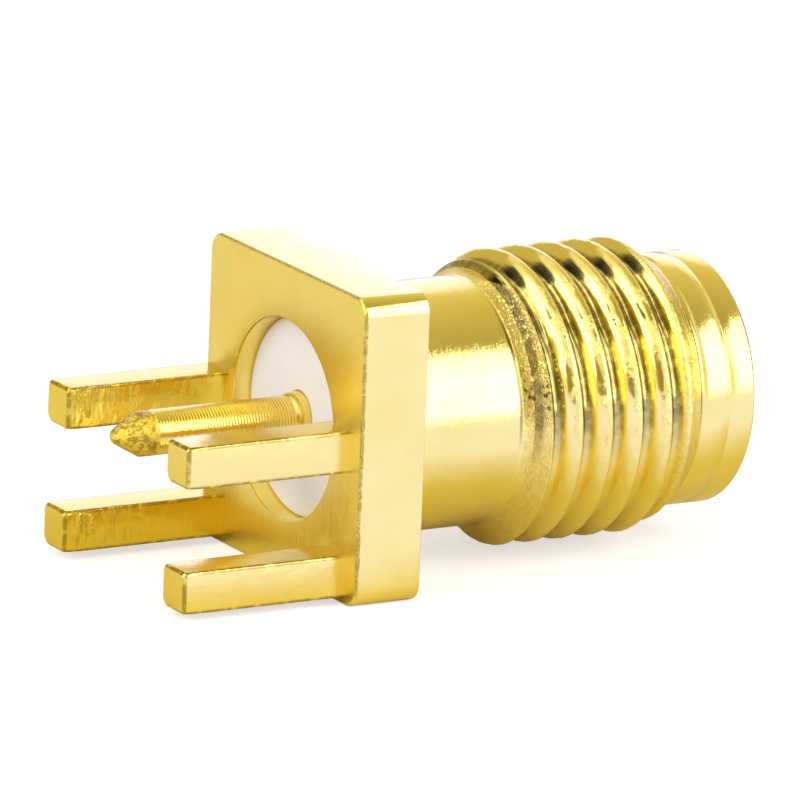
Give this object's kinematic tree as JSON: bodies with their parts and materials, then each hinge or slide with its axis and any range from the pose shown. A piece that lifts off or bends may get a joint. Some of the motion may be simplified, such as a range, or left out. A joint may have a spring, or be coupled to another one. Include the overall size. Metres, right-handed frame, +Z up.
{
  "type": "sma connector",
  "caption": "Board-edge coaxial jack with a square flange, board legs and a solder pin behind it, and a threaded barrel with a slotted socket in front.",
  "frame": {"origin": "on the connector's axis, in the flange's rear face, where the board's edge stops", "axes": "+X along the axis towards the mating end; +Z up, away from the board; +Y completes the right hand"},
  "size_m": [0.0137, 0.0064, 0.0064],
  "materials": {
    "gold_body": "gold plated, turned and milled, polished",
    "gold_contact": "gold plated with fine turning rings",
    "white_insulator": "smooth white fluoropolymer"
  },
  "bodies": {
    "root": {"body": "gold_body", "insulator": "white_insulator", "centre_contact": "gold_contact"}
  },
  "joints": []
}
